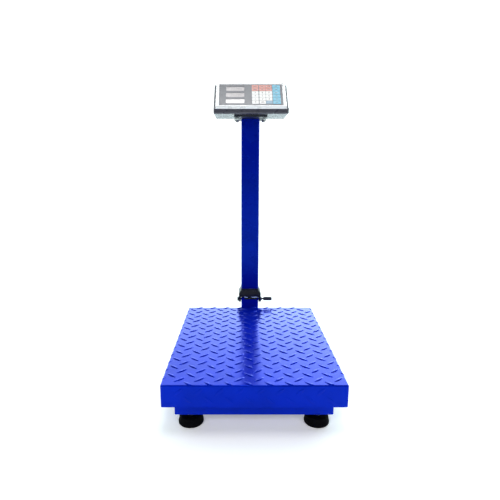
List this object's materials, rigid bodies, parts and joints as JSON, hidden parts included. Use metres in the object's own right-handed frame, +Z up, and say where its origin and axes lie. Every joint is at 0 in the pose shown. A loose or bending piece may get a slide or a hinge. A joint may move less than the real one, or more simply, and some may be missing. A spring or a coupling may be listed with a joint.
{
  "type": "platform scale",
  "caption": "Folding platform scale: a tread-plate pan on a load cell, a base frame on levelling feet, and a hinged column with a price indicator.",
  "frame": {"origin": "on the floor, at the middle of the object's footprint", "axes": "+X to the right as seen by the user, +Y from the pan's front edge to the column, +Z up"},
  "size_m": [0.4, 0.576, 0.8027],
  "materials": {
    "blue_paint": "gloss enamel on steel",
    "black_steel": "black powder coat",
    "zinc": "bright zinc plating",
    "aluminium": "machined and anodised",
    "rubber": "matte moulded rubber",
    "grip_plastic": "fine moulded texture",
    "case_plastic": "moulded ABS, gloss",
    "bezel_silver": "silver-painted ABS",
    "overlay": "printed polyester overlay",
    "display": "clear window over a grey liquid crystal display",
    "circuit_board": "green solder mask",
    "battery_case": "moulded ABS",
    "cable_jacket": "PVC jacket",
    "black_plastic": "moulded nylon"
  },
  "bodies": {
    "base": {"base_frame": "blue_paint", "post_bracket": "blue_paint", "bracket_bolt_left": "zinc", "bracket_bolt_right": "zinc", "foot_nut_front_left": "zinc", "foot_nut_front_right": "zinc", "foot_nut_rear_left": "zinc", "foot_nut_rear_right": "zinc", "load_cell": "aluminium", "cell_spacer_lower": "zinc", "cell_bolt_lower_left": "zinc", "cell_bolt_lower_right": "zinc", "cell_cable_lower": "cable_jacket"},
    "platform": {"load_bridge": "black_steel", "cell_spacer_upper": "zinc", "cell_bolt_upper_left": "zinc", "cell_bolt_upper_right": "zinc", "pan_buffer_front_left": "rubber", "pan_buffer_front_right": "rubber", "pan_buffer_rear_left": "rubber", "pan_buffer_rear_right": "rubber", "platform_pan": "blue_paint"},
    "column": {"hinge_collar": "black_steel", "lock_nut": "black_steel", "column_tube": "blue_paint", "mount_plate": "black_steel", "plate_bolt_front_left": "zinc", "plate_bolt_front_right": "zinc", "plate_bolt_rear_left": "zinc", "plate_bolt_rear_right": "zinc", "cable_grommet": "rubber", "cell_cable_upper": "cable_jacket", "head_shell": "case_plastic", "battery": "battery_case", "head_bezel": "bezel_silver", "keypad_panel": "overlay", "main_board": "circuit_board", "lcd_weight": "display", "lcd_price": "display", "lcd_total": "display", "rear_panel": "overlay", "rear_lcd_weight": "display", "rear_lcd_price": "display", "rear_lcd_total": "display", "switch_frame": "black_plastic", "charge_socket": "black_plastic"},
    "lock_washer": {"lock_washer": "zinc"},
    "lock_screw": {"lock_rod": "black_steel", "lock_grip": "grip_plastic"},
    "power_rocker": {"power_rocker": "black_plastic"},
    "foot_front_left": {"foot_pad_front_left": "rubber", "foot_stud_front_left": "zinc"},
    "foot_front_right": {"foot_pad_front_right": "rubber", "foot_stud_front_right": "zinc"},
    "foot_rear_left": {"foot_pad_rear_left": "rubber", "foot_stud_rear_left": "zinc"},
    "foot_rear_right": {"foot_pad_rear_right": "rubber", "foot_stud_rear_right": "zinc"}
  },
  "joints": [
    {"name": "column_fold", "type": "hinge", "parent": "base", "child": "column", "pos_m": [0, 0.236, 0.128], "axis": [1, 0, 0], "range_deg": [0, 90]},
    {"name": "lock_slide", "type": "slide", "parent": "column", "child": "lock_washer", "axis": [1, 0, 0], "range_m": [0, 0.0026]},
    {"name": "lock_turn", "type": "hinge", "parent": "lock_washer", "child": "lock_screw", "pos_m": [0, 0.236, 0.128], "axis": [1, 0, 0], "range_deg": [0, 720]},
    {"name": "power_switch", "type": "hinge", "parent": "column", "child": "power_rocker", "pos_m": [0.1082, 0.175, 0.7185], "axis": [0, 0, 1], "range_deg": [0, 18]},
    {"name": "platform_travel", "type": "slide", "parent": "base", "child": "platform", "axis": [0, 0, -1], "range_m": [0, 0.0005], "stiffness_N_per_m": 1000000, "deforming": ["load_cell"]},
    {"name": "level_front_left", "type": "slide", "parent": "base", "child": "foot_front_left", "axis": [0, 0, -1], "range_m": [0, 0.01]},
    {"name": "level_front_right", "type": "slide", "parent": "base", "child": "foot_front_right", "axis": [0, 0, -1], "range_m": [0, 0.01]},
    {"name": "level_rear_left", "type": "slide", "parent": "base", "child": "foot_rear_left", "axis": [0, 0, -1], "range_m": [0, 0.01]},
    {"name": "level_rear_right", "type": "slide", "parent": "base", "child": "foot_rear_right", "axis": [0, 0, -1], "range_m": [0, 0.01]}
  ],
  "couplings": [
    {"joint": "lock_slide", "follows": "lock_turn", "m_per_rad": 0.00019894}
  ]
}
